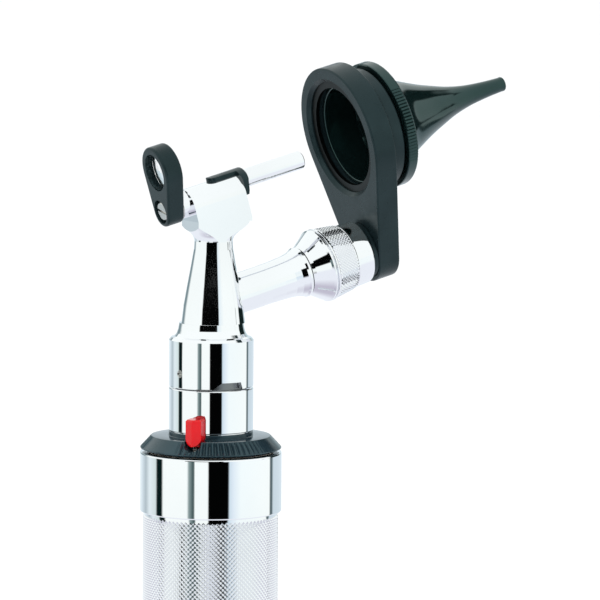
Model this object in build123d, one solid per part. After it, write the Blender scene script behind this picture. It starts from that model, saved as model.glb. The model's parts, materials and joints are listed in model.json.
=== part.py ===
"""Operating otoscope on a battery handle: one STEP file per component.

Millimetres, +Z up the handle, +X towards the patient, origin at the middle of
the base.  The head is laid out in a tilted optical frame: F runs along the
line of sight through lens and speculum, U is square to it in the XZ plane,
and both are counted from the top of the handle on the handle's axis.
"""
from build123d import *
import math
import os

os.makedirs("parts", exist_ok=True)

# ------------------------------------------------------------ dimensions
# handle
HANDLE_H = 138.5        # base to the seat plane of the brightness ring
BAND_R = 15.875         # smooth bands and end cap, 1.25 in across
GRIP_R = 15.2           # crest of the diamond knurl
BAND_LOW = 13.9         # height of the upper smooth band
BORE_R = 13.4           # battery tube bore
THREAD_R = 14.38        # wider bore that takes the end cap
CAP_H = 15.7            # visible height of the end cap
CAP_SPIGOT_R = 14.3
CAP_SPIGOT_TOP = 26.0
DECK_TOP = -0.5         # top of the barrel, from the seat plane
DECK_T = 3.6
BATTERY_R = 12.7
BATTERY_Z = (24.5, 124.0)

# brightness ring and its lock button
RING_LIP_R, RING_LIP_Z = 15.78, 0.45
RING_TOP_R, RING_TOP_Z = 13.45, 3.1
RING_LOW_R, RING_LOW_Z = 14.7, -0.2
RING_BORE_R = 9.06
RING_HUB_R, RING_HUB_Z = 9.42, 4.05      # raised rim round the collar's foot
BUTTON_AZ = -134.0
BUTTON_W = 3.6
BUTTON_IN, BUTTON_SIDE, BUTTON_OUT = 9.75, 12.95, 14.2
BUTTON_LOW, BUTTON_TOP = 2.1, 8.0
BUTTON_STROKE = 1.0

# bayonet collar and head socket
COLLAR_R = 9.47
COLLAR_Z = (4.3, 13.95)
SPIGOT_R = 7.9
SPIGOT_TOP = 20.9
SOCKET_Z = (14.2, 25.2)
SOCKET_BORE_R = 7.96
LUG_R, LUG_HALF, LUG_Z = 8.6, 12.0, (16.2, 18.0)
LUG_AZ = (-60.0, 120.0)
NOTCH_AZ = ((-117.4, -68.5), (-101.8, -72.2))   # at the edge, at the top
NOTCH_TOP = 15.75
SET_SCREW_AZ, SET_SCREW_Z = -164.2, 17.5

# neck and head block
FOOT = ((8.9, 25.2), (8.25, 25.45), (7.75, 26.1), (7.45, 27.0), (7.2, 28.4))
NECK_X = 0.45           # the neck sits this far forward of the handle's axis
NECK = ((7.15, 28.4), (6.7, 32.1), (5.9, 36.6), (5.05, 41.1), (4.4, 44.8), (4.3, 46.6))
FLARE = ((4.3, 46.6), (4.8, 47.95), (6.2, 49.2), (8.05, 51.1))
FLARE_TOP = 51.4
BLOCK_HALF = 4.2
BLOCK_REAR, BLOCK_FRONT = -5.35, 8.0
CROWN_U = 53.9          # centre of the block's half-round top
CROWN_R, CAP_CROWN_R = 4.2, 5.05    # of the block, of the cap over it
CAP_F = 21.3            # F of the block's front, where the cap's plate begins
RIB_F, RIB_HALF = 16.15, 1.62       # centre of the cap rib's round nose, half width
TILT = 15.2             # line of sight above the horizontal

# lens
LENS_F, LENS_T = 1.75, 4.2
LENS_PIVOT_U = 54.9
LENS_ARM = 9.3
LENS_R1, LENS_R2 = 5.8, 3.5
LENS_SWING = 11.0       # the holder rests swung this far to one side
LENS_HOLE_R = 4.2

# light
TUBE_U, TUBE_R, TUBE_F = 56.15, 2.05, (20.0, 38.4)
FIBRE_R = 1.45

# arm, knurled nut and ring carrier
ARM_U = 31.64
ARM_END = 31.9
NUT_F = (32.2, 47.6)
NUT_BORE_R = 4.06
PADDLE_F, PADDLE_T = 48.76, 5.47
PADDLE_L = 26.49
PADDLE_R1, PADDLE_R2 = 16.35, 7.0
PADDLE_END = (-0.6, -0.7)               # centre of the lower end from the pivot
OPENING_R = 13.04
BOSS_R, BOSS_TOP = 13.8, 9.5

# speculum, lengths from the carrier's rear face
FLANGE_R, FLANGE = 14.62, (9.79, 12.32)
SPEC_SPIGOT_R = 11.92
SPEC_TIP = 44.6
TIP_R, TIP_BORE_R = 1.65, 1.15

# ------------------------------------------------------------ helpers
CT, ST = math.cos(math.radians(TILT)), math.sin(math.radians(TILT))
F_DIR = Vector(CT, 0, ST)
U_DIR = Vector(-ST, 0, CT)
RING_U = ARM_U + PADDLE_L


def opt(f, u, y=0.0):
    """A point of the optical frame in the part's frame."""
    return Vector(f * CT - u * ST, y, HANDLE_H + f * ST + u * CT)


def on_axis(f, u):
    """Location whose +Z is the line of sight and +X is U."""
    return Plane(origin=opt(f, u), x_dir=U_DIR, z_dir=F_DIR).location


def turned(points, z=0.0):
    """Solid of revolution about Z from a closed (radius, height) outline."""
    wire = Polyline(*[(r, 0, h + z) for r, h in points], close=True)
    return revolve(make_face(wire), Axis.Z)


def disc(r, z0, z1, bore=0.0):
    return turned([(bore, z0), (r, z0), (r, z1), (bore, z1)])


def prism(points, z0, z1):
    face = make_face(Polyline(*[(x, y, z0) for x, y in points], close=True))
    return extrude(face, amount=z1 - z0, dir=(0, 0, 1))


def slab(points, half):
    """Plate of the head block: (f, u) outline, symmetric about Y = 0."""
    face = make_face(Polyline(*[opt(f, u, -half) for f, u in points], close=True))
    return extrude(face, amount=2 * half, dir=(0, 1, 0))


def sector(r0, r1, a0, a1, z0, z1):
    """Annular sector between two azimuths in degrees."""
    n = 12
    arc = [math.radians(a0 + (a1 - a0) * i / n) for i in range(n + 1)]
    k = 1 / math.cos(math.radians((a1 - a0) / n / 2))
    rim = [(1.2 * r1 * k * math.cos(a), 1.2 * r1 * k * math.sin(a)) for a in arc]
    wedge = prism([(0, 0)] + rim, z0, z1)
    return disc(r1, z0, z1, r0) & wedge


def teardrop(r1, r2, length):
    """Hull of a circle r1 at (length, 0) and a circle r2 at the origin."""
    a = math.acos((r1 - r2) / length)
    c, s = math.cos(a), math.sin(a)
    big = [(length - r1 * c, r1 * s), (length + r1, 0), (length - r1 * c, -r1 * s)]
    small = [(-r2 * c, -r2 * s), (-r2, 0), (-r2 * c, r2 * s)]
    return make_face([ThreePointArc(*big), Line(big[2], small[0]),
                      ThreePointArc(*small), Line(small[2], big[0])])


def coil(radius, wire, z0, z1, turns):
    path = Pos(0, 0, z0) * Helix(pitch=(z1 - z0) / turns, height=z1 - z0, radius=radius)
    start = path @ 0
    section = Plane(origin=start, z_dir=path % 0) * Circle(wire)
    return sweep(section, path)


def face_edges(shape, axis_z):
    """Edges of a plate that lie flat at local height axis_z."""
    return [e for e in shape.edges()
            if abs(e.bounding_box().min.Z - axis_z) < 1e-4
            and abs(e.bounding_box().max.Z - axis_z) < 1e-4]


def save(name, shape):
    solids = shape.solids()
    body = solids[0] if len(solids) == 1 else Compound(children=list(solids))
    export_step(body, f"parts/{name}.step")


Z0 = HANDLE_H
UP = Pos(0, 0, Z0)      # from seat-plane heights to the part's frame

# ------------------------------------------------------------ handle
deck_z = Z0 + DECK_TOP
band_z = Z0 - BAND_LOW
barrel = turned([
    (THREAD_R, 16.3), (15.5, 16.3), (BAND_R, 16.7), (BAND_R, 27.6), (15.5, 28.0),
    (14.95, 28.1), (14.95, 28.9), (GRIP_R, 29.2), (GRIP_R, band_z - 0.7),
    (14.95, band_z - 0.5), (14.95, band_z), (15.55, band_z), (BAND_R, band_z + 0.3),
    (BAND_R, deck_z - 0.35), (15.55, deck_z), (14.1, deck_z), (14.1, deck_z - 0.6),
    (10.4, deck_z - 0.6), (10.4, deck_z), (7.5, deck_z), (7.5, deck_z - DECK_T),
    (BORE_R, deck_z - DECK_T), (BORE_R, 27.2), (THREAD_R, 26.9)])
save("handle_barrel", barrel)
save("handle_liner", disc(BORE_R, 27.4, deck_z - DECK_T - 0.2, BATTERY_R + 0.1))
save("battery_cell", turned([
    (0, BATTERY_Z[0]), (BATTERY_R - 0.5, BATTERY_Z[0]), (BATTERY_R, BATTERY_Z[0] + 0.5),
    (BATTERY_R, BATTERY_Z[1] - 0.8), (BATTERY_R - 0.8, BATTERY_Z[1]), (0, BATTERY_Z[1])]))
save("battery_contact", turned([
    (0, 124.0), (3.2, 124.0), (3.2, 125.6), (2.8, 126.0), (0, 126.0)]))
save("rheostat_track", UP * disc(13.95, DECK_TOP - 0.6, DECK_TOP, 10.55))

collar = turned([
    (6.0, -4.1), (7.5, -4.1), (7.5, DECK_TOP), (9.0, DECK_TOP), (9.0, COLLAR_Z[0]),
    (COLLAR_R - 0.12, COLLAR_Z[0]), (COLLAR_R, COLLAR_Z[0] + 0.12),
    (COLLAR_R, COLLAR_Z[1] - 0.2), (COLLAR_R - 0.2, COLLAR_Z[1]),
    (SPIGOT_R, COLLAR_Z[1]), (SPIGOT_R, SPIGOT_TOP - 0.3), (SPIGOT_R - 0.3, SPIGOT_TOP),
    (6.0, SPIGOT_TOP)])
for az in LUG_AZ:
    collar += sector(SPIGOT_R - 0.5, LUG_R, az - LUG_HALF, az + LUG_HALF, *LUG_Z)
save("lock_collar", UP * collar)
save("contact_insulator", UP * turned([
    (1.55, -9.0), (7.0, -9.0), (7.0, -4.2), (5.95, -4.2), (5.95, 21.0), (1.55, 21.0)]))
save("contact_pin", UP * turned([
    (0, -12.3), (2.6, -12.3), (2.6, -9.05), (1.5, -9.05), (1.5, 21.5), (1.1, 21.9), (0, 21.9)]))

# ------------------------------------------------------------ end cap
cap = turned([
    (0, 0), (11.5, 0), (11.7, 0.3), (12.3, 0.3), (12.5, 0), (14.9, 0), (BAND_R, 0.95),
    (BAND_R, CAP_H - 0.35), (BAND_R - 0.35, CAP_H), (15.15, CAP_H),
    (15.15, CAP_H - 0.3), (14.6, CAP_H - 0.3), (14.6, CAP_H),
    (CAP_SPIGOT_R, CAP_H), (CAP_SPIGOT_R, CAP_SPIGOT_TOP - 0.4),
    (CAP_SPIGOT_R - 0.4, CAP_SPIGOT_TOP), (12.9, CAP_SPIGOT_TOP), (12.9, 3.0), (0, 3.0)])
save("end_cap", cap)
save("cap_seal", Pos(0, 0, CAP_H - 0.02) * Torus(14.87, 0.26))
save("cap_contact", turned([
    (0, 3.1), (12.2, 3.1), (12.2, 4.0), (0, 4.0)]))
save("cap_spring", coil(8.5, 0.55, 4.57, 23.8, 5.5))

# ------------------------------------------------------------ brightness ring
ring = turned([
    (RING_BORE_R, RING_LOW_Z), (RING_LOW_R, RING_LOW_Z), (RING_LIP_R, RING_LIP_Z - 0.15),
    (RING_LIP_R, RING_LIP_Z + 0.1), (RING_TOP_R, RING_TOP_Z - 0.15),
    (RING_TOP_R - 0.25, RING_TOP_Z), (RING_HUB_R, RING_TOP_Z), (RING_HUB_R, RING_HUB_Z),
    (RING_BORE_R, RING_HUB_Z)])
half = BUTTON_W / 2


def button_block(gap, drop):
    """Lock button envelope, in the button's radial frame."""
    w, low = half + gap, BUTTON_LOW - drop - gap
    shoulder = low + w
    front = make_face([
        Line((0, -w, 9.5), (0, w, 9.5)), Line((0, w, 9.5), (0, w, shoulder)),
        ThreePointArc((0, w, shoulder), (0, 0, low), (0, -w, shoulder)),
        Line((0, -w, shoulder), (0, -w, 9.5))])
    plan = prism([(BUTTON_IN - gap, -w), (BUTTON_SIDE + gap, -w), (BUTTON_OUT + gap, 0),
                  (BUTTON_SIDE + gap, w), (BUTTON_IN - gap, w)], 0, 12)
    return extrude(front, amount=20, dir=(1, 0, 0)) & plan


at_button = Rot(0, 0, BUTTON_AZ)
stem_hole = Pos(11.4, 0, 2.2) * Box(2.2, 2.8, 3.6)
ring -= at_button * button_block(0.14, BUTTON_STROKE)
ring -= at_button * stem_hole
ring -= sector(10.7, 13.7, BUTTON_AZ + 140, BUTTON_AZ + 220, RING_LOW_Z - 0.1, 0.42)
save("rheostat_ring", UP * ring)
wiper = sector(10.85, 13.55, BUTTON_AZ + 145, BUTTON_AZ + 215, -0.05, 0.42)
wiper += sector(11.6, 12.8, BUTTON_AZ + 172, BUTTON_AZ + 188, -0.4, 0.1)
save("ring_wiper", UP * wiper)

button = button_block(0.0, 0.0) - Pos(0, 0, BUTTON_TOP + 5) * Box(60, 60, 10)
button = chamfer([e for e in button.edges()
                  if e.bounding_box().min.Z > BUTTON_TOP - 0.01], 0.35)
button += Pos(11.4, 0, 2.95) * Box(1.8, 2.4, 2.1)
save("lock_button", UP * (at_button * button))
save("button_spring", UP * (at_button * (Pos(11.4, 0, 0) * coil(0.72, 0.13, 0.56, 1.74, 3))))

# ------------------------------------------------------------ head socket
socket = turned([
    (SOCKET_BORE_R, SOCKET_Z[0]), (COLLAR_R - 0.15, SOCKET_Z[0]),
    (COLLAR_R, SOCKET_Z[0] + 0.15), (COLLAR_R, SOCKET_Z[1] - 0.6),
    (COLLAR_R - 0.5, SOCKET_Z[1]), (6.0, SOCKET_Z[1]), (6.0, 21.6), (SOCKET_BORE_R, 21.6),
    (SOCKET_BORE_R, 18.2), (8.74, 18.2), (8.74, 16.0), (SOCKET_BORE_R, 16.0)])


def notch(turn):
    """Bayonet entry: a trapezoid in the skirt with one long sloping side."""
    (a0, a1), (b0, b1) = NOTCH_AZ
    low = SOCKET_Z[0] - 0.2

    def across(az):
        return COLLAR_R * math.cos(math.radians(az))

    window = make_face(Polyline(
        (across(a0), -4, low), (across(a1), -4, low), (across(b1), -4, NOTCH_TOP),
        (across(b0), -4, NOTCH_TOP), close=True))
    window = extrude(window, amount=8, dir=(0, -1, 0))
    slot = sector(SPIGOT_R - 1, 8.68, b0, b1, low, 17.0)
    return Rot(0, 0, turn) * (window + slot)


socket -= notch(0)
socket -= notch(180)
screw_at = Rot(0, 0, SET_SCREW_AZ) * Pos(0, 0, SET_SCREW_Z) * Rot(0, 90, 0)
socket -= screw_at * Pos(0, 0, 9.3) * Cylinder(0.85, 1.3)
save("head_socket", UP * socket)
set_screw = screw_at * Pos(0, 0, 9.05) * Cylinder(0.83, 0.5)
set_screw -= screw_at * Pos(0, 0, 9.25) * Box(0.3, 2.2, 0.3)
save("head_set_screw", UP * set_screw)

# ------------------------------------------------------------ neck and block
at_neck = Pos(NECK_X, 0, 0)
neck = turned([(0, 21.7), (6.0, 21.7), (6.0, 25.2)] + list(FOOT) + [(0, FOOT[-1][1])])
neck += at_neck * turned([(0, FOOT[-1][1])] + list(NECK) + [(0, NECK[-1][1])])
arm_cope = at_neck * turned([(0, 15.0), (8.0, 22.0)] + list(NECK) + [(0, NECK[-1][1])])

# trumpet-shaped flare, cut flat on the block's four sides
flare_side = Spline(*[(r, 0, z) for r, z in FLARE])
flare_face = make_face([flare_side, Polyline((FLARE[-1][0], 0, FLARE[-1][1]),
                        (FLARE[-1][0], 0, FLARE_TOP), (0, 0, FLARE_TOP),
                        (0, 0, FLARE[0][1]), (FLARE[0][0], 0, FLARE[0][1]))])
flare = at_neck * revolve(flare_face, Axis.Z)
flare &= Pos((BLOCK_REAR + BLOCK_FRONT) / 2, 0, FLARE_TOP - 3) * Box(
    BLOCK_FRONT - BLOCK_REAR, 2 * BLOCK_HALF, 8)

# the block ends in a black cap: a plate on its front with a rib along its top
block_outline = [(8.26, 50.81), (8.26, 53.5), (8.3, 57.0), (8.5, 60.0), (CAP_F, 60.0),
                 (CAP_F, 53.3), (21.35, 49.5), (21.4, 48.2), (21.14, 47.31)]
plate_outline = [(CAP_F, 53.3), (22.0, 53.3), (22.3, 54.1), (22.6, 56.2), (22.95, 57.8),
                 (23.05, 60.0), (CAP_F, 60.0)]


def crowned(radius, rear, front, half):
    """Bar along the line of sight whose top is an arch of the given radius."""
    foot = CROWN_U + math.sqrt(max(0.0, radius ** 2 - half ** 2))
    arch = make_face([
        ThreePointArc(opt(rear, foot, -half), opt(rear, CROWN_U + radius, 0),
                      opt(rear, foot, half)),
        Polyline(opt(rear, foot, half), opt(rear, 44, half), opt(rear, 44, -half),
                 opt(rear, foot, -half))])
    return extrude(arch, amount=front - rear, dir=F_DIR)


block = slab(block_outline, BLOCK_HALF + 2) & crowned(CROWN_R, 5.0, 25.0, BLOCK_HALF)

head = UP * (neck + flare) + block
head += on_axis(6.3, LENS_PIVOT_U) * disc(3.0, 0, 3.0)       # lens pivot boss
head -= UP * disc(4.25, 21.0, 34.0)                          # lamp cavity

bend = TUBE_U * ST / CT                                      # F where x = 0
corner = opt(bend, TUBE_U)
path = FilletPolyline((0, 0, Z0 + 34.1), corner, opt(TUBE_F[1] - 0.25, TUBE_U), radius=5.0)


def along(radius):
    start = Plane(origin=path @ 0, z_dir=path % 0) * Circle(radius)
    return sweep(start, path)


fibre = along(FIBRE_R)
fibre_bore = along(FIBRE_R + 0.05)
head -= fibre_bore
head -= UP * disc(FIBRE_R + 0.05, 33.5, 34.4)
head -= on_axis(TUBE_F[0], TUBE_U) * disc(TUBE_R, 0, 6)
head -= on_axis(6.0, LENS_PIVOT_U) * disc(1.2, 0, 4.6)       # lens screw thread
save("head_body", head)
save("light_pipe", fibre)
save("light_tube", on_axis(0, TUBE_U) * turned([
    (FIBRE_R + 0.05, TUBE_F[0]), (TUBE_R, TUBE_F[0]), (TUBE_R, TUBE_F[1] - 0.25),
    (TUBE_R - 0.25, TUBE_F[1]), (FIBRE_R + 0.05, TUBE_F[1])]))
light_cap = slab(plate_outline, BLOCK_HALF + 2) & crowned(
    CAP_CROWN_R, CAP_F, 25.0, BLOCK_HALF - 0.02)
rib_plan = make_face([
    ThreePointArc(opt(RIB_F, 55, -RIB_HALF), opt(RIB_F - RIB_HALF, 55, 0),
                  opt(RIB_F, 55, RIB_HALF)),
    Polyline(opt(RIB_F, 55, RIB_HALF), opt(CAP_F + 0.5, 55, RIB_HALF),
             opt(CAP_F + 0.5, 55, -RIB_HALF), opt(RIB_F, 55, -RIB_HALF))])
rib = extrude(rib_plan, amount=6, dir=U_DIR) & crowned(CAP_CROWN_R, 12.0, 22.0, BLOCK_HALF)
rib -= crowned(CROWN_R, 11.0, CAP_F, BLOCK_HALF + 0.001)
light_cap += rib
light_cap -= on_axis(TUBE_F[0], TUBE_U) * disc(TUBE_R + 0.03, 0, 6)
save("light_pipe_cap", light_cap)

# ------------------------------------------------------------ lamp
save("lamp_base", UP * turned([
    (0, 22.0), (1.6, 22.0), (1.6, 22.6), (4.2, 22.6), (4.2, 23.4), (3.7, 23.6),
    (3.7, 27.6), (0, 27.6)]))
save("lamp_bulb", UP * turned([
    (0, 27.62), (2.9, 27.62), (2.9, 31.0), (2.5, 32.2), (1.6, 33.1), (0, 33.5)]))

# ------------------------------------------------------------ lens
lens_at = on_axis(LENS_F, LENS_PIVOT_U) * Rot(0, 0, LENS_SWING)
holder = extrude(teardrop(LENS_R1, LENS_R2, LENS_ARM), amount=LENS_T)
holder = fillet(face_edges(holder, 0) + face_edges(holder, LENS_T), 0.55)
eye = Pos(LENS_ARM, 0, 0)
holder -= eye * disc(LENS_HOLE_R, -1, 2.0)
holder -= eye * disc(4.6, 1.9, LENS_T + 1)
holder -= disc(2.7, -1, 1.5)
holder -= disc(1.56, -1, LENS_T + 1)
save("lens_holder", lens_at * holder)
lens = eye * turned([
    (0, 1.45), (1.4, 1.5), (2.8, 1.65), (4.0, 1.95), (4.55, 2.0), (4.55, 3.2), (4.0, 3.22),
    (2.8, 3.42), (1.4, 3.56), (0, 3.6)])
save("magnifier_lens", lens_at * lens)
save("lens_retainer", lens_at * (eye * turned([
    (4.02, 3.3), (4.58, 3.22), (4.58, 4.05), (3.95, 4.05)])))
screw = turned([(0, 0.35), (1.9, 0.35), (2.2, 0.6), (2.2, 1.4), (1.5, 1.4), (1.5, 4.53),
                (1.2, 4.53), (1.2, 8.6), (0, 8.6)])
screw -= Rot(0, 0, 12) * Pos(0, 0, 0.55) * Box(0.55, 6.0, 0.5)
save("lens_screw", on_axis(LENS_F, LENS_PIVOT_U) * screw)
save("lens_washer", on_axis(LENS_F, LENS_PIVOT_U) * disc(2.9, 4.3, 4.53, 1.52))

# ------------------------------------------------------------ arm and nut
arm = turned([
    (0, 8.6), (4.5, 8.6), (4.5, 22.0), (4.6, 25.5), (4.78, 28.2), (5.05, 29.8),
    (5.45, 31.0), (5.75, 31.4), (5.75, ARM_END), (3.0, ARM_END), (3.0, 20.0), (0, 20.0)])
save("arm_tube", on_axis(0, ARM_U) * arm - UP * arm_cope)
spindle = turned([
    (0, 20.0), (3.0, 20.0), (3.0, ARM_END), (4.0, ARM_END), (4.0, 47.7), (3.0, 47.7),
    (3.0, 52.5), (1.4, 52.5), (1.4, 44.0), (0, 44.0)])
save("arm_spindle", on_axis(0, ARM_U) * spindle)
save("lock_nut", on_axis(0, ARM_U) * turned([
    (NUT_BORE_R, NUT_F[0]), (5.55, NUT_F[0]), (5.95, 32.9), (8.0, 35.85), (8.35, 36.3),
    (8.38, 36.65), (7.95, 36.8), (7.95, 37.0), (8.4, 37.15), (8.42, 37.5), (8.3, 37.7),
    (7.6, 43.0), (7.4, 43.15), (7.35, 43.4), (7.2, 47.3), (6.9, NUT_F[1]),
    (NUT_BORE_R, NUT_F[1])]))
save("friction_washer", on_axis(0, ARM_U) * disc(6.5, 47.78, 48.6, 3.02))
pivot = turned([
    (0, 44.1), (1.38, 44.1), (1.38, 52.6), (4.1, 52.6), (4.1, 53.7), (3.8, 54.0), (0, 54.0)])
pivot -= Pos(0, 0, 53.9) * Box(0.8, 10, 0.9)
save("pivot_screw", on_axis(0, ARM_U) * pivot)

# ------------------------------------------------------------ ring carrier
span = Vector(PADDLE_L - PADDLE_END[0], -PADDLE_END[1])
lean = math.degrees(math.atan2(span.Y, span.X))
paddle = extrude(teardrop(PADDLE_R1, PADDLE_R2, span.length), amount=PADDLE_T)
paddle = fillet(face_edges(paddle, 0) + face_edges(paddle, PADDLE_T), 0.4)
paddle = Pos(*PADDLE_END, 0) * Rot(0, 0, lean) * paddle
hub = Pos(PADDLE_L, 0, 0)
paddle += hub * turned([
    (0, 1.0), (BOSS_R, 1.0), (BOSS_R, BOSS_TOP - 0.5), (BOSS_R - 0.5, BOSS_TOP), (0, BOSS_TOP)])
paddle -= hub * turned([
    (0, -1), (OPENING_R + 0.8, -1), (OPENING_R + 0.8, 0), (OPENING_R, 0.8), (OPENING_R, 2.0),
    (12.9, 2.0), (12.9, 11), (0, 11)])
paddle -= disc(3.06, -1, 7)
paddle -= disc(4.5, 3.64, 7)
save("paddle", on_axis(PADDLE_F, ARM_U) * paddle)
on_ring = on_axis(PADDLE_F, RING_U)
save("carrier_clip", on_ring * turned([
    (11.45, 1.15), (OPENING_R, 1.15), (OPENING_R, 1.95), (11.45, 1.95)]))
save("bayonet_ring", on_ring * turned([
    (12.0, 2.3), (12.6, 2.3), (12.83, 2.5), (12.83, 8.9), (12.6, 9.1), (12.0, 9.1)]))

# ------------------------------------------------------------ speculum
outer = [(13.0, FLANGE[1]), (11.9, 12.9), (10.7, 13.9), (9.3, 15.9), (8.05, 18.4), (6.2, 22.5),
         (4.8, 26.2), (3.45, 30.2), (2.48, 34.6), (1.92, 39.5), (TIP_R, 43.8)]
inner = [(TIP_BORE_R, 43.8), (1.27, 39.5), (1.7, 34.6), (2.6, 30.2), (3.95, 26.2),
         (5.35, 22.5), (7.2, 18.4), (8.45, 15.9), (9.7, 13.9), (11.0, 11.3)]
tip = [(TIP_R, 43.8), (TIP_R + 0.06, 44.2), (TIP_R - 0.1, 44.5), (1.38, SPEC_TIP),
       (TIP_BORE_R, 44.45), (TIP_BORE_R, 43.8)]


def rz(points):
    return [(r, 0, z) for r, z in points]


spec_face = make_face([
    Spline(*rz(outer)), Polyline(*rz(tip)), Spline(*rz(inner)),
    Polyline(*rz([inner[-1], (11.1, 3.2), (11.7, 3.2), (SPEC_SPIGOT_R, 3.5),
                  (SPEC_SPIGOT_R, FLANGE[0]), (FLANGE_R - 0.3, FLANGE[0]),
                  (FLANGE_R, FLANGE[0] + 0.3), (FLANGE_R, FLANGE[1] - 0.3),
                  (FLANGE_R - 0.3, FLANGE[1]), outer[0]]))])
save("speculum", on_ring * revolve(spec_face, Axis.Z))
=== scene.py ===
"""Operating otoscope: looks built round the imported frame, in metres."""
import bpy
import bmesh
import json
import math
from mathutils import Matrix, Vector


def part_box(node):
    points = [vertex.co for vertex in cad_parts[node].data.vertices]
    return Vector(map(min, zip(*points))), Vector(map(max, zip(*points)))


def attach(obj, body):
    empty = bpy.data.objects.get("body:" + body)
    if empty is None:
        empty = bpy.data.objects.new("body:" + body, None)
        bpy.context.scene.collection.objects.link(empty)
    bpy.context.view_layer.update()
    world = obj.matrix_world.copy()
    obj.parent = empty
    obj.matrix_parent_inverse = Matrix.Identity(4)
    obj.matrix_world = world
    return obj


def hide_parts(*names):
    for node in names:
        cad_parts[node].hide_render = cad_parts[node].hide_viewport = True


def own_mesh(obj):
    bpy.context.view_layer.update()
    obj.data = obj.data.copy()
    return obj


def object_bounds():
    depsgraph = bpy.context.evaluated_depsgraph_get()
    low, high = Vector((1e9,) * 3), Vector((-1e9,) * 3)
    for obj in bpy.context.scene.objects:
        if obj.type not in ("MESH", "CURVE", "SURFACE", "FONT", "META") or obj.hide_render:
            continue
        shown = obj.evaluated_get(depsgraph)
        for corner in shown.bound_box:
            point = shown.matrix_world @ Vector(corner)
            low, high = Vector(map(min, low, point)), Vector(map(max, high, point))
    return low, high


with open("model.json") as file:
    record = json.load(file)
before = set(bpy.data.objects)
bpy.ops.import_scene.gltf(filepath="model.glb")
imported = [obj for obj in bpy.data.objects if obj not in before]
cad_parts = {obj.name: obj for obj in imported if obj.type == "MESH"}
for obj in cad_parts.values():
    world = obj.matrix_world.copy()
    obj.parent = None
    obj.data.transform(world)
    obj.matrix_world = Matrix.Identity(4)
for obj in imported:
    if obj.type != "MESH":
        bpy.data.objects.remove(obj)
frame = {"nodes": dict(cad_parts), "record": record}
cad_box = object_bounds()
MM = 0.001

# ------------------------------------------------------------ layout
# Shapes are written in mm. Heights on the handle count from its base, heights on
# the ring and collar from the seat plane, and the head is laid out along F, the
# line of sight, and U, square to it.
DECK_DROP = 0.5                         # top of the barrel below the seat plane
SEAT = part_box("handle_barrel")[1].z * 1000 + DECK_DROP
TILT = math.radians(15.2)
F = Vector((math.cos(TILT), 0, math.sin(TILT)))
U = Vector((-math.sin(TILT), 0, math.cos(TILT)))
ARM_U, RING_U, CARRIER_F = 31.64, 58.13, 48.76


def from_base():
    """Placement for turned shapes round the handle, heights from its base."""
    return Matrix.Scale(MM, 4)


def upright():
    """Placement for turned shapes round the handle, heights from the seat."""
    return Matrix.Translation(Vector((0, 0, SEAT)) * MM) @ Matrix.Scale(MM, 4)


def on_sight(f, u):
    """Placement whose Z is the line of sight and whose X is U."""
    m = Matrix((U, F.cross(U), F)).transposed().to_4x4()
    m.translation = (F * f + U * u + Vector((0, 0, SEAT))) * MM
    return m @ Matrix.Scale(MM, 4)


# ------------------------------------------------------------ mesh tools
WELD = 2e-7                             # metres within which points are one


def linked(name, data):
    """New object with this mesh, light or camera data, in the scene."""
    obj = bpy.data.objects.new(name, data)
    bpy.context.scene.collection.objects.link(obj)
    return obj


def solid_mesh(name, verts, faces, place):
    """Mesh of these points as placed, with its faces turned outwards."""
    mesh = bpy.data.meshes.new(name)
    mesh.from_pydata([place @ Vector(v) for v in verts], [], faces)
    bm = bmesh.new()
    bm.from_mesh(mesh)
    bmesh.ops.remove_doubles(bm, verts=bm.verts, dist=WELD)
    bmesh.ops.recalc_face_normals(bm, faces=bm.faces)
    bm.to_mesh(mesh)
    bm.free()
    return mesh


def make(name, verts, faces, place, body, material, slot, sharp):
    """Piece on a body, smooth up to edges of the given angle in degrees."""
    mesh = solid_mesh(name, verts, faces, place)
    mesh.shade_smooth()
    mesh.set_sharp_from_angle(angle=math.radians(sharp))
    mesh.materials.append(material)
    obj = linked(name, mesh)
    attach(obj, body)
    return obj


def apply_modifiers(obj):
    """Swap obj's mesh for the one its modifiers give."""
    bpy.context.view_layer.update()
    done = bpy.data.meshes.new_from_object(
        obj.evaluated_get(bpy.context.evaluated_depsgraph_get()))
    obj.modifiers.clear()
    obj.data = done
    return done


def rounded(points, steps=4):
    """Outline with its corners rounded: points are (r, z) or (r, z, radius)."""
    out, n = [], len(points)
    for i, p in enumerate(points):
        if len(p) == 2:
            out.append(p)
            continue
        a, b, c = (Vector(points[k % n][:2]) for k in (i - 1, i, i + 1))
        d0, d1 = (a - b), (c - b)
        half = d0.angle(d1) / 2
        cut = min(p[2] / math.tan(half), 0.49 * d0.length, 0.49 * d1.length)
        p0, p1 = b + d0.normalized() * cut, b + d1.normalized() * cut
        hold = min(0.04, 0.2 * cut)         # keeps the flats beside a round truly flat
        out.append(tuple(p0 + d0.normalized() * hold))
        for k in range(steps + 1):
            t = k / steps
            q = p0.lerp(b, t).lerp(b.lerp(p1, t), t)
            out.append((q.x, q.y))
        out.append(tuple(p1 + d1.normalized() * hold))
    return out


def lathe(points, n, wave=None):
    """Verts and faces of a closed turned shape. wave(angle, r, z) may move a point."""
    verts, faces, m = [], [], len(points)
    for k in range(n):
        a = 2 * math.pi * k / n
        for r, z in points:
            rr, zz = wave(a, r, z) if wave else (r, z)
            verts.append((rr * math.cos(a), rr * math.sin(a), zz))
    for k in range(n):
        base, nxt = k * m, ((k + 1) % n) * m
        for i in range(m):
            j = (i + 1) % m
            faces.append((base + i, base + j, nxt + j, nxt + i))
    return verts, faces


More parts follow.
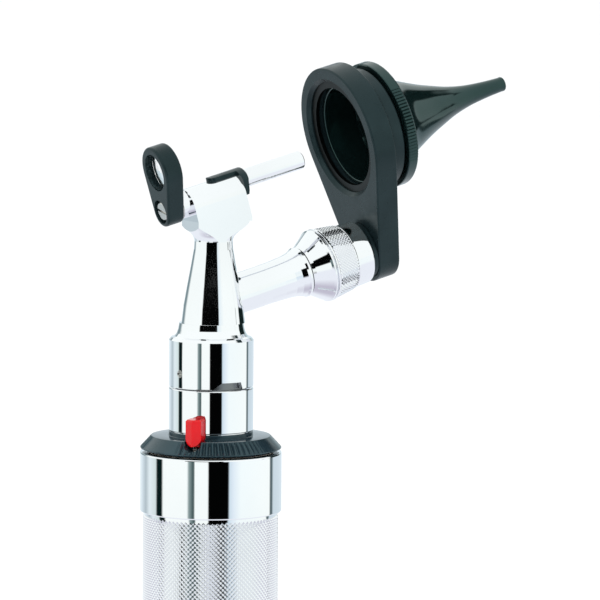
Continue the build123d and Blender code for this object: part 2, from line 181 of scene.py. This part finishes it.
def knurl(radius, z0, z1, around, rows, depth, flat=0.3):
    """Diamond knurl: radius(z) is its crest, rows counts half diamonds."""
    verts, faces, at = [], [], {}

    def point(i, j, drop, di=0.0, dj=0.0):
        a = math.pi * (i + di) / around
        z = z0 + (z1 - z0) * (j + dj) / rows
        r = radius(z) - drop
        verts.append((r * math.cos(a), r * math.sin(a), z))
        return len(verts) - 1

    def valley(i, j):
        key = (i % (2 * around), j)
        if key not in at:
            at[key] = point(key[0], j, depth)
        return at[key]

    for j in range(rows + 1):
        for i in range(2 * around):
            if (i + j) % 2 == 0:
                continue
            left, right = valley(i - 1, j), valley(i + 1, j)
            if j == 0:
                faces.append((left, right, valley(i, 1)))
            elif j == rows:
                faces.append((right, left, valley(i, rows - 1)))
            else:
                low, top = valley(i, j - 1), valley(i, j + 1)
                ring = (low, right, top, left)
                crest = (point(i, j, 0, 0, -flat), point(i, j, 0, flat, 0),
                         point(i, j, 0, 0, flat), point(i, j, 0, -flat, 0))
                faces.append(crest)
                for k in range(4):
                    q = (k + 1) % 4
                    faces.append((ring[k], ring[q], crest[q], crest[k]))
    return verts, faces


def add_knurl(verts, faces, crest, z0, z1, around, pitch, depth):
    """Add a knurled belt to a lathe's verts and faces."""
    rows = 2 * round((z1 - z0) / pitch)
    more_verts, more_faces = knurl(crest, z0, z1, around, rows, depth)
    start = len(verts)
    return (verts + more_verts,
            faces + [tuple(i + start for i in face) for face in more_faces])


def carve(obj, cutters, sharp):
    """Cut the cutters from obj, which keeps the result as its own mesh."""
    for cutter in cutters:
        cut = obj.modifiers.new("cut", "BOOLEAN")
        cut.operation, cut.solver, cut.object = "DIFFERENCE", "EXACT", cutter
    done = apply_modifiers(obj)
    for cutter in cutters:
        bpy.data.objects.remove(cutter)
    done.shade_smooth()
    done.set_sharp_from_angle(angle=math.radians(sharp))


def face_finish(obj, material, chosen):
    """Give the faces picked by chosen(centre, normal) their own finish."""
    obj.data.materials.append(material)
    last = len(obj.data.materials) - 1
    for poly in obj.data.polygons:
        if chosen(poly.center, poly.normal):
            poly.material_index = last


# ------------------------------------------------------------ materials
def shader(name, color, metallic, rough, **more):
    """Principled material; more sets further sockets, named with underscores."""
    mat = bpy.data.materials.new(name)
    mat.use_nodes = True
    nodes, links = mat.node_tree.nodes, mat.node_tree.links
    bsdf = nodes["Principled BSDF"]
    bsdf.inputs["Base Color"].default_value = (*color, 1)
    bsdf.inputs["Metallic"].default_value = metallic
    bsdf.inputs["Roughness"].default_value = rough
    for key, value in more.items():
        bsdf.inputs[key.replace("_", " ")].default_value = value
    return mat, nodes, links, bsdf


def noise(nodes, links, scale, detail, stretch=None):
    """Noise fixed to the object, stretched by three factors if they are given."""
    coord = nodes.new("ShaderNodeTexCoord")
    tex = nodes.new("ShaderNodeTexNoise")
    tex.inputs["Scale"].default_value = scale
    tex.inputs["Detail"].default_value = detail
    if stretch:
        mapping = nodes.new("ShaderNodeMapping")
        mapping.inputs["Scale"].default_value = stretch
        links.new(coord.outputs["Object"], mapping.inputs["Vector"])
        links.new(mapping.outputs["Vector"], tex.inputs["Vector"])
    else:
        links.new(coord.outputs["Object"], tex.inputs["Vector"])
    return tex.outputs["Fac"]


NOISE_LOW, NOISE_HIGH = 0.3, 0.7        # the part of a noise's range that is used


def spread(nodes, links, fac, low, high):
    """Number that wanders from low to high with the noise."""
    node = nodes.new("ShaderNodeMapRange")
    node.inputs["From Min"].default_value = NOISE_LOW
    node.inputs["From Max"].default_value = NOISE_HIGH
    node.inputs["To Min"].default_value = low
    node.inputs["To Max"].default_value = high
    links.new(fac, node.inputs["Value"])
    return node.outputs["Result"]


def tint(nodes, links, fac, dark, light):
    """Colour that wanders from dark to light with the noise."""
    ramp = nodes.new("ShaderNodeValToRGB")
    ramp.color_ramp.elements[0].color = (*dark, 1)
    ramp.color_ramp.elements[1].color = (*light, 1)
    ramp.color_ramp.elements[0].position = NOISE_LOW
    ramp.color_ramp.elements[1].position = NOISE_HIGH
    links.new(fac, ramp.inputs["Fac"])
    return ramp.outputs["Color"]


BUMP_DEPTH = 2e-5                       # metres


def bump(nodes, links, bsdf, height, strength):
    node = nodes.new("ShaderNodeBump")
    node.inputs["Strength"].default_value = strength
    node.inputs["Distance"].default_value = BUMP_DEPTH
    links.new(height, node.inputs["Height"])
    links.new(node.outputs["Normal"], bsdf.inputs["Normal"])


def polished(name, color, low, high, grain=(1, 1, 1), strength=0.02):
    """Plated or turned metal: patchy gloss and faint polishing marks."""
    mat, nodes, links, bsdf = shader(name, color, 1.0, low)
    links.new(spread(nodes, links, noise(nodes, links, 90, 5), low, high),
              bsdf.inputs["Roughness"])
    shade = tuple(c * 0.94 for c in color)
    links.new(tint(nodes, links, noise(nodes, links, 35, 3), shade, color),
              bsdf.inputs["Base Color"])
    bump(nodes, links, bsdf, noise(nodes, links, 900, 3, grain), strength)
    return mat


def moulded(name, dark, light, low, high, pore=2600, strength=0.12, **more):
    """Plastic or painted surface: uneven colour, gloss and a fine texture."""
    mat, nodes, links, bsdf = shader(name, light, 0.0, high, **more)
    links.new(tint(nodes, links, noise(nodes, links, 140, 5), dark, light),
              bsdf.inputs["Base Color"])
    links.new(spread(nodes, links, noise(nodes, links, 420, 4), low, high),
              bsdf.inputs["Roughness"])
    bump(nodes, links, bsdf, noise(nodes, links, pore, 2), strength)
    return mat


TURNED = (1, 1, 8)                      # stretch of the marks a lathe leaves
CHROME = polished("chrome_plate", (0.90, 0.91, 0.93), 0.02, 0.06)
GRIP = polished("chrome_grip", (0.88, 0.89, 0.91), 0.05, 0.10)
STEEL = polished("turned_steel", (0.70, 0.69, 0.66), 0.18, 0.3, TURNED, 0.1)
BRASS = polished("bare_brass", (0.80, 0.62, 0.28), 0.2, 0.32, (1, 1, 6), 0.1)
DARK_TINT = (0.66, 0.97, 0.98, 1.0)
BLACK = moulded("satin_black", (0.005, 0.011, 0.013), (0.010, 0.019, 0.022), 0.24, 0.36,
                Specular_IOR_Level=0.28, Specular_Tint=DARK_TINT)
RING_SHADES = (0.010, 0.022, 0.030), (0.020, 0.038, 0.050)
RINGBLACK = moulded("ring_black", *RING_SHADES, 0.15, 0.24,
                    Specular_IOR_Level=0.5, Specular_Tint=DARK_TINT)
RINGTOP = moulded("ring_top", *RING_SHADES, 0.03, 0.06, 1500, 0.02, Specular_IOR_Level=0.8)
SPECULUM = moulded("speculum_black", (0.002, 0.006, 0.006), (0.004, 0.010, 0.010),
                   0.07, 0.13, 1500, 0.02, Specular_IOR_Level=0.7,
                   Specular_Tint=(0.52, 0.93, 0.90, 1.0))
RED = moulded("button_red", (0.56, 0.001, 0.004), (0.68, 0.002, 0.006), 0.16, 0.26, 1500, 0.03,
              Specular_IOR_Level=0.35)
IVORY = moulded("ivory_insulator", (0.72, 0.70, 0.62), (0.82, 0.80, 0.73), 0.4, 0.55)
WRAP = moulded("battery_wrap", (0.05, 0.10, 0.26), (0.08, 0.15, 0.36), 0.2, 0.35)
RUBBER = moulded("seal_rubber", (0.012, 0.012, 0.012), (0.025, 0.025, 0.025), 0.55, 0.7)
FIBRE = moulded("fibre_face", (0.70, 0.76, 0.80), (0.92, 0.95, 0.97), 0.08, 0.2, 9000, 0.5)
SPIGOT = polished("spigot_steel", (0.20, 0.21, 0.215), 0.22, 0.34, TURNED, 0.1)
DARKSTEEL = polished("blackened_clip", (0.018, 0.022, 0.022), 0.35, 0.5, (1, 1, 6), 0.1)


def glass(name, color, low, high, ior):
    """Clear glass with a trace of haze and tone."""
    mat, nodes, links, bsdf = shader(name, color, 0.0, low, IOR=ior,
                                     Transmission_Weight=1.0)
    links.new(spread(nodes, links, noise(nodes, links, 60, 3), low, high),
              bsdf.inputs["Roughness"])
    links.new(tint(nodes, links, noise(nodes, links, 25, 2),
                   tuple(c * 0.985 for c in color), color), bsdf.inputs["Base Color"])
    return mat


LENS = glass("lens_glass", (0.97, 0.99, 1.0), 0.0, 0.01, 1.5)
BULB = glass("bulb_glass", (0.97, 0.97, 0.95), 0.0, 0.03, 1.47)

finish = {
    "chrome": CHROME, "chrome_grip": GRIP, "steel": STEEL, "brass": BRASS,
    "black_ring": RINGBLACK, "black_plastic": BLACK, "speculum_plastic": SPECULUM,
    "red_button": RED, "lens_glass": LENS, "lamp_glass": BULB, "fibre": FIBRE,
    "insulator": IVORY, "battery_wrap": WRAP, "rubber_seal": RUBBER}
for part in frame["record"]["subparts"]:
    slots = frame["nodes"][part["node"]].data.materials
    if not slots:
        slots.append(None)
    for i in range(len(slots)):
        slots[i] = finish[part["material_slot"]]
frame["nodes"]["carrier_clip"].data.materials[0] = DARKSTEEL

# ------------------------------------------------------------ handle barrel
BAND_R, GRIP_R, NECK_R = 15.875, 15.2, 14.95
BORE_R, THREAD_R, THREAD_TOP = 13.4, 14.38, 26.9
LOW_BAND = (16.3, 28.0)                 # bottom and top of the lower band
BAND_TOP, BAND_FOOT = SEAT - DECK_DROP, SEAT - 13.9     # and of the upper one
DECK_T, RECESS, NECK_H = 3.6, 0.6, 0.7
GRIP_LOW, GRIP_TOP = 29.2, BAND_FOOT - NECK_H
DIAMOND, GRIP_DEPTH = 1.05, 0.36        # knurl pitch both ways, and depth
KNURL_SHARP = 24                        # degrees above which an edge stays sharp


def barrel():
    """Tube with its two smooth bands, its closed deck and the knurled grip."""
    core, recess, deck = GRIP_R - GRIP_DEPTH - 0.05, BAND_TOP - RECESS, BAND_TOP - DECK_T
    outline = rounded([
        (THREAD_R, LOW_BAND[0]), (BAND_R, LOW_BAND[0], 0.4), (BAND_R, LOW_BAND[1], 0.35),
        (NECK_R, LOW_BAND[1]), (NECK_R, GRIP_LOW), (core, GRIP_LOW), (core, GRIP_TOP),
        (NECK_R, GRIP_TOP), (NECK_R, BAND_FOOT), (BAND_R, BAND_FOOT, 0.3),
        (BAND_R, BAND_TOP, 0.4), (14.1, BAND_TOP, 0.1), (14.1, recess), (10.4, recess),
        (10.4, BAND_TOP), (7.5, BAND_TOP), (7.5, deck), (BORE_R, deck),
        (BORE_R, THREAD_TOP + 0.3), (THREAD_R, THREAD_TOP)])
    around = round(2 * math.pi * GRIP_R / DIAMOND)
    verts, faces = add_knurl(*lathe(outline, 240), lambda z: GRIP_R, GRIP_LOW, GRIP_TOP,
                             around, DIAMOND, GRIP_DEPTH)
    obj = make("knurled_barrel", verts, faces, from_base(), "handle", GRIP, "chrome_grip",
               KNURL_SHARP)
    face_finish(obj, CHROME, lambda c, n: c.z > (GRIP_TOP + 0.1) * MM
                or c.z < (GRIP_LOW - 0.1) * MM)
    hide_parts("handle_barrel")


barrel()

# ------------------------------------------------------------ brightness ring
RING_RIDGES, RIDGE_DEPTH = 72, 0.62
RIDGED_ZONES = (-108.0, 12.0, 132.0)    # middles of the three serrated arcs
ZONE_HALF = 40.0
BUTTON_AZ = -134.0
LIP, EDGE = (15.78, 0.5), (13.45, 3.0)  # foot and top of the ring's cone
SINK = (0.717, 0.697)                   # way a groove sinks into it, in r and z
RING_TOP_Z = 3.1
RING_SHARP = 30


def turned_away(a, middles):
    """Smallest angle in degrees between azimuth a and any of the middles."""
    return min(abs((math.degrees(a) - m + 180) % 360 - 180) for m in middles)


def ridges(a, r, z):
    """Serrate the ring's cone in its three arcs by sinking V grooves."""
    along = (LIP[0] - r) / (LIP[0] - EDGE[0])
    if not -0.02 < along < 1.02 or z < LIP[1] - 0.05 or z > EDGE[1] + 0.05:
        return r, z
    fade = min(1.0, max(0.0, (ZONE_HALF - turned_away(a, RIDGED_ZONES)) / 2.5))
    phase = (math.degrees(a) * RING_RIDGES / 360) % 1.0
    groove = 1.0 - abs(2 * phase - 1.0)
    groove = min(1.0, max(0.0, 1.6 * groove - 0.35))
    ends = min(1.0, 6.0 * along + 0.1, 6.0 * (1.0 - along) + 0.35)
    drop = RIDGE_DEPTH * fade * groove * max(0.0, ends)
    return r - SINK[0] * drop, z - SINK[1] * drop


def radial_cutter(name, section, near, far, place):
    """Cutter with a closed section of (y, z) points, from one radius to another."""
    n = len(section)
    verts = [(x, y, z) for x in (near, far) for y, z in section]
    faces = [tuple(range(n)), tuple(range(n, 2 * n))[::-1]]
    faces += [(i, n + i, n + (i + 1) % n, (i + 1) % n) for i in range(n)]
    return linked(name, solid_mesh(name, verts, faces, place))


def arched(half, low, high, steps=14):
    """Section of a slot with a round bottom: half width and heights."""
    turns = [math.pi * (k / steps - 0.5) for k in range(steps + 1)]
    arch = [(half * math.sin(t), low + half * (1 - math.cos(t))) for t in turns]
    return [(-half, high)] + arch + [(half, high)]


def brightness_ring():
    """Serrated cone and top of the ring, with the lock button's slot and pocket."""
    steps = 7
    cone = [(LIP[0] + (EDGE[0] - LIP[0]) * k / steps, LIP[1] + (EDGE[1] - LIP[1]) * k / steps)
            for k in range(steps + 1)]
    outline = [(9.06, -0.2), (14.7, -0.2), (15.7, 0.22), (15.78, 0.32)] + cone + [
        (13.38, 3.07), (13.25, RING_TOP_Z), (9.55, RING_TOP_Z), (9.42, 3.2), (9.42, 3.95),
        (9.34, 4.05), (9.06, 4.05)]
    ring = make("serrated_ring", *lathe(outline, RING_RIDGES * 10, wave=ridges), upright(),
                "ring", RINGBLACK, "black_ring", RING_SHARP)
    place = upright() @ Matrix.Rotation(math.radians(BUTTON_AZ), 4, "Z")
    pocket = [(-1.4, 0.4), (1.4, 0.4), (1.4, 4.0), (-1.4, 4.0)]
    carve(ring, [radial_cutter("button_slot", arched(1.94, 0.96, 9.0), 9.61, 17.0, place),
                 radial_cutter("stem_pocket", pocket, 10.3, 12.5, place)], RING_SHARP)
    face_finish(ring, RINGTOP, lambda c, n: n.z > 0.98
                and abs(c.z - (SEAT + RING_TOP_Z) * MM) < 0.1 * MM)
    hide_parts("rheostat_ring")


brightness_ring()

# ------------------------------------------------------------ lock nut
NUT_DIAMOND, NUT_DEPTH = 0.80, 0.27
NUT_MEAN_R = 8.0
KNURL_F, KNURL_R = (37.75, 43.0), (8.3, 7.6)    # ends of the knurled belt
NUT_BORE, NUT_REAR, NUT_NOSE = 4.06, 32.2, 47.6


def nut_crest(f):
    """Radius of the belt's crests."""
    t = (f - KNURL_F[0]) / (KNURL_F[1] - KNURL_F[0])
    return KNURL_R[0] + (KNURL_R[1] - KNURL_R[0]) * t


def lock_nut():
    """Nut with a plain rear cone, two fine beads, a knurled belt and a nose."""
    core = NUT_DEPTH + 0.04
    outline = rounded([
        (NUT_BORE, NUT_REAR), (5.55, NUT_REAR, 0.1), (5.95, 32.9, 0.3), (8.02, 35.9, 0.5),
        (8.38, 36.3, 0.15), (8.38, 36.72, 0.12), (7.98, 36.8), (7.98, 36.98),
        (8.42, 37.08, 0.12), (8.42, 37.5, 0.12), (KNURL_R[0] - core, KNURL_F[0] - 0.02),
        (KNURL_R[1] - core, KNURL_F[1] + 0.02), (7.38, 43.12, 0.08), (7.34, 43.5, 0.1),
        (7.2, 47.1, 0.5), (6.8, NUT_NOSE, 0.2), (NUT_BORE, NUT_NOSE)], 5)
    around = round(2 * math.pi * NUT_MEAN_R / NUT_DIAMOND)
    verts, faces = add_knurl(*lathe(outline, 192), nut_crest, *KNURL_F, around,
                             NUT_DIAMOND, NUT_DEPTH)
    nut = make("knurled_nut", verts, faces, on_sight(0, ARM_U), "nut", CHROME, "chrome_grip",
               KNURL_SHARP)
    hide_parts("lock_nut")


lock_nut()

# ------------------------------------------------------------ speculum
RIM_RIDGES, RIM_DEPTH = 120, 0.2
RIM_ZONES = (88.0, 208.0, 328.0)        # middles of the serrated arcs on the rim
RIM_HALF = 36.0
RIM_R, RIM_F = 14.62, (9.79, 12.32)     # radius, and where the rim starts and ends
SPECULUM_SHARP = 18


def rim_ridges(a, r, z):
    """Cut V grooves across the rim in its three arcs, with flats between them."""
    if r < RIM_R - 0.2 or not RIM_F[0] - 0.1 < z < RIM_F[1] + 0.1:
        return r, z
    inside = turned_away(a, RIM_ZONES) < RIM_HALF
    phase = (math.degrees(a) * RIM_RIDGES / 360) % 1.0
    groove = max(0.0, 1.0 - 2.0 * abs(2 * phase - 1))
    return r - (RIM_DEPTH * groove if inside else 0.0), z


def curve_through(points, per=6):
    """Smooth Catmull-Rom line through the points."""
    pts = [Vector(p) for p in points]
    pts = [2 * pts[0] - pts[1]] + pts + [2 * pts[-1] - pts[-2]]
    out = []
    for i in range(1, len(pts) - 2):
        a, b, c, d = pts[i - 1:i + 3]
        for k in range(per):
            t = k / per
            out.append(0.5 * ((2 * b) + (c - a) * t + (2 * a - 5 * b + 4 * c - d) * t * t
                              + (3 * b - a - 3 * c + d) * t ** 3))
    return [(v.x, v.y) for v in out] + [tuple(points[-1])]


def speculum():
    """Hollow cone with a rolled tip, a serrated rim and a bayonet collar."""
    outer = curve_through([(13.1, RIM_F[1]), (11.9, 12.9), (10.7, 13.9), (9.3, 15.9), (8.05, 18.4),
                           (6.2, 22.5), (4.8, 26.2), (3.45, 30.2), (2.48, 34.6), (1.92, 39.5),
                           (1.65, 43.8)])
    lip = [(1.70, 44.05), (1.69, 44.27), (1.60, 44.46), (1.47, 44.56), (1.32, 44.54),
           (1.2, 44.4)]
    inner = curve_through([(1.15, 43.8), (1.27, 39.5), (1.7, 34.6), (2.6, 30.2), (3.95, 26.2),
                           (5.35, 22.5), (7.2, 18.4), (8.45, 15.9), (9.7, 13.9), (11.0, 11.3)])
    foot = [(11.1, 3.3), (11.25, 3.2), (11.7, 3.2), (11.92, 3.45), (11.92, RIM_F[0])]
    rim = [(RIM_R - 0.32, RIM_F[0]), (RIM_R - 0.1, RIM_F[0] + 0.08), (RIM_R, RIM_F[0] + 0.3),
           (RIM_R, RIM_F[1] - 0.3), (RIM_R - 0.1, RIM_F[1] - 0.08), (RIM_R - 0.32, RIM_F[1])]
    verts, faces = lathe(outer + lip + inner + foot + rim, RIM_RIDGES * 4, wave=rim_ridges)
    tip = make("speculum_shell", verts, faces, on_sight(CARRIER_F, RING_U), "speculum_tip",
               SPECULUM, "speculum_plastic", SPECULUM_SHARP)
    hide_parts("speculum")


speculum()

# ------------------------------------------------------------ soft-edged copies
FLAT = math.radians(1.0)                # faces within this angle are one flat
HARD = math.radians(32.0)               # edges above this angle are rounded


def copied(node, name, material, merge_flats):
    """Piece with a CAD node's mesh, in its place, on its body and in its slot."""
    source = frame["nodes"][node]
    bm = bmesh.new()
    bm.from_mesh(source.data)
    bmesh.ops.transform(bm, matrix=source.matrix_world, verts=bm.verts)
    bmesh.ops.remove_doubles(bm, verts=bm.verts, dist=WELD)
    if merge_flats:
        bmesh.ops.dissolve_limit(bm, angle_limit=FLAT, verts=bm.verts, edges=bm.edges)
    mesh = bpy.data.meshes.new(name)
    bm.to_mesh(mesh)
    bm.free()
    mesh.shade_smooth()
    mesh.materials.append(material)
    obj = linked(name, mesh)
    groups = frame["record"]["behaviour"]["bodies"]
    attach(obj, next(b for b, names in groups.items() if node in names))
    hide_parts(node)
    return obj


def eased(node, name, width, material):
    """Copy of a CAD node's mesh with its hard edges broken by a fine round."""
    obj = copied(node, name, material, merge_flats=True)
    cut = obj.modifiers.new("ease", "BEVEL")
    cut.width, cut.segments, cut.limit_method = width * MM, 3, "ANGLE"
    cut.angle_limit = HARD
    even = obj.modifiers.new("even", "WEIGHTED_NORMAL")
    even.keep_sharp = True
    apply_modifiers(obj)
    return obj


SPIGOT_FOOT, SPIGOT_R = 13.97, 8.9      # the bare part above the collar's shoulder
collar = eased("lock_collar", "plated_collar", 0.12, CHROME)
face_finish(collar, SPIGOT, lambda c, n: c.z > (SEAT + SPIGOT_FOOT) * MM
            and math.hypot(c.x, c.y) < SPIGOT_R * MM)
eased("lock_button", "red_lock_button", 0.22, RED)
eased("light_pipe_cap", "light_pipe_cover", 0.22, BLACK)

spring = copied("button_spring", "pressed_spring", STEEL, merge_flats=False)
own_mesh(spring)

# ------------------------------------------------------------ camera
AZ, EL, ROLL = map(math.radians, (-27.868, 5.597, 0.383))
STANDPOINT = Vector((-397.8, -794.6, 120.6 + SEAT))
back = Vector((math.sin(AZ) * math.cos(EL), -math.cos(AZ) * math.cos(EL), math.sin(EL)))
right = Vector((math.cos(AZ), math.sin(AZ), 0))
up = back.cross(right)
right, up = (right * math.cos(ROLL) + up * math.sin(ROLL),
             up * math.cos(ROLL) - right * math.sin(ROLL))
eye = bpy.data.cameras.new("camera")
eye.lens, eye.sensor_width, eye.clip_start, eye.clip_end = 240, 36, 0.05, 100
camera = linked("camera", eye)
place = Matrix((right, up, back)).transposed().to_4x4()
place.translation = STANDPOINT * MM
camera.matrix_world = place
bpy.context.scene.camera = camera
bpy.context.scene.view_settings.view_transform = "Standard"

# ------------------------------------------------------------ studio
# Diffuse light comes from an even white sky. Glossy rays see the panels of a photo
# studio instead, laid out by heading and by rise above the horizon, in degrees.
world = bpy.data.worlds.new("studio")
bpy.context.scene.world = world
world.use_nodes = True
nodes, links = world.node_tree.nodes, world.node_tree.links
background = nodes["Background"]
coord = nodes.new("ShaderNodeTexCoord")
split = nodes.new("ShaderNodeSeparateXYZ")
links.new(coord.outputs["Generated"], split.inputs["Vector"])


def math_node(op, *values):
    node = nodes.new("ShaderNodeMath")
    node.operation = op
    for socket, value in zip(node.inputs, values):
        if isinstance(value, (int, float)):
            socket.default_value = value
        else:
            links.new(value, socket)
    return node.outputs[0]


FRONT = 116.6           # degrees from heading 0, which lies on the -Y side, round to +X
azimuth = math_node("ARCTAN2", split.outputs["Y"], split.outputs["X"])
turn = math_node("DIVIDE", math_node("ADD", azimuth, math.radians(FRONT)), 2 * math.pi)
turn = math_node("FRACT", math_node("ADD", turn, 1.5))      # 0.5 at heading 0
WHITE, PALE, GREY = (0.95, 0.995, 0.975), (0.70, 0.80, 0.86), (0.20, 0.27, 0.29)
BLACKED, TEAL = (0.0008, 0.001, 0.001), (0.06, 0.10, 0.10)
INK, SMOKE = (0.002, 0.010, 0.010), (0.10, 0.14, 0.15)
LOW_STOPS = [           # heading and shade, for what is reflected from the horizon down
    (-180, WHITE), (-150, PALE), (-131, (0.45, 0.53, 0.57)), (-118, (0.76, 0.85, 0.88)),
    (-101, (0.66, 0.76, 0.75)), (-97.5, INK), (-87, INK), (-83.5, WHITE),
    (-38.5, WHITE), (-36, (0.28, 0.36, 0.36)), (-29, TEAL), (-27, TEAL), (-25.5, WHITE),
    (-4.5, WHITE), (-3, BLACKED), (29, BLACKED), (30.5, (0.62, 0.74, 0.82)),
    (38, (0.76, 0.85, 0.92)), (50, (0.91, 0.98, 0.98)), (111, WHITE), (114, SMOKE),
    (119, SMOKE), (123, (0.60, 0.70, 0.76)), (180, PALE)]
HIGH_STOPS = [          # and from the horizon up
    (-180, PALE), (-165, (0.62, 0.70, 0.73)), (-152, GREY), (-136, GREY), (-122, WHITE),
    (-43, WHITE), (-41, BLACKED), (20, BLACKED), (22, (0.78, 0.88, 0.92)), (40, WHITE),
    (116, WHITE), (124, (0.13, 0.18, 0.18)), (142, (0.22, 0.29, 0.30)),
    (165, (0.60, 0.72, 0.76)), (180, PALE)]


def panel_ramp(stops):
    """Shade by heading, from the first stop round to the last."""
    ramp = nodes.new("ShaderNodeValToRGB")
    links.new(turn, ramp.inputs["Fac"])
    elements = ramp.color_ramp.elements
    elements[0].position, elements[0].color = 0.0, (*stops[0][1], 1)
    elements[1].position, elements[1].color = 1.0, (*stops[-1][1], 1)
    for angle, shade in stops[1:-1]:
        elements.new(angle / 360 + 0.5).color = (*shade, 1)
    return ramp.outputs["Color"]


def fade(value, start, end):
    """0 at start and 1 at end of the value, held beyond them."""
    node = nodes.new("ShaderNodeMapRange")
    node.inputs["From Min"].default_value = start
    node.inputs["From Max"].default_value = end
    links.new(value, node.inputs["Value"])
    return node.outputs["Result"]


def blend(factor, a, b):
    """Colour a where factor is 0 and b where it is 1."""
    node = nodes.new("ShaderNodeMix")
    node.data_type = "RGBA"
    for socket, value in (("Factor", factor), ("A", a), ("B", b)):
        if isinstance(value, tuple):
            node.inputs[socket].default_value = value
        else:
            links.new(value, node.inputs[socket])
    return node.outputs["Result"]


def squared_off(value, centre, half):
    """Squared distance of a value from centre, in units of half."""
    node = math_node("DIVIDE", math_node("SUBTRACT", value, centre), half)
    return math_node("MULTIPLY", node, node)


rise = math_node("MULTIPLY", math_node("ARCSINE", split.outputs["Z"]), 180 / math.pi)
heading = math_node("MULTIPLY", math_node("SUBTRACT", turn, 0.5), 360)
panels = blend(fade(rise, -4.5, -2.0), panel_ramp(LOW_STOPS), panel_ramp(HIGH_STOPS))
panels = blend(fade(rise, 17, 19), panels, (0.96, 1.0, 0.99, 1))
panels = blend(fade(rise, -17, -24), panels, (0.84, 0.87, 0.93, 1))
panels = blend(fade(rise, -50, -75), panels, (0.55, 0.53, 0.63, 1))
# a dark screen on the tip's side with one oval opening in it: it gives the
# speculum its dark body with a single soft highlight
screen = math_node("MULTIPLY", fade(heading, 91, 94), fade(heading, 150, 144))
screen = math_node("MULTIPLY", screen,
                   math_node("MULTIPLY", fade(rise, -4.5, -2.5), fade(rise, 51, 45)))
oval = math_node("ADD", squared_off(heading, 103, 13.5), squared_off(rise, 21, 24))
screen = math_node("MULTIPLY", screen, fade(oval, 0.85, 1.1))
panels = blend(screen, panels, (0.006, 0.014, 0.014, 1))
glossy = nodes.new("ShaderNodeLightPath").outputs["Is Glossy Ray"]
links.new(blend(glossy, (1, 1, 1, 1), panels), background.inputs["Color"])
background.inputs["Strength"].default_value = 1.1

FLOOR_R, FLOOR_SIDES, FLOOR_GAP = 14, 96, 0.0002        # metres
turns = [2 * math.pi * k / FLOOR_SIDES for k in range(FLOOR_SIDES)]
mesh = bpy.data.meshes.new("floor")
mesh.from_pydata([(FLOOR_R * math.cos(t), FLOOR_R * math.sin(t), cad_box[0][2] - FLOOR_GAP)
                  for t in turns], [], [tuple(range(FLOOR_SIDES))])
floor_mat, nodes, links, bsdf = shader("pale_floor", (0.93, 0.94, 0.95), 0.0, 0.9)
links.new(tint(nodes, links, noise(nodes, links, 3, 3), (0.925, 0.935, 0.945),
               (0.94, 0.945, 0.95)), bsdf.inputs["Base Color"])
mesh.materials.append(floor_mat)
floor = linked("floor", mesh)
floor.visible_glossy = False


def softbox(name, at, size, power):
    """Round soft light aimed at the head, metres and watts, not reflected itself."""
    data = bpy.data.lights.new(name, "AREA")
    data.shape, data.size, data.energy = "DISK", size, power
    light = linked(name, data)
    light.location = at
    aim = Vector((0, 0, 0.18)) - Vector(at)
    light.rotation_euler = aim.to_track_quat("-Z", "Y").to_euler()
    light.visible_glossy = False
    light.visible_camera = False


softbox("key", (-1.3, -0.9, 1.5), 0.9, 9)
softbox("fill", (1.2, -1.2, 0.9), 1.2, 3)
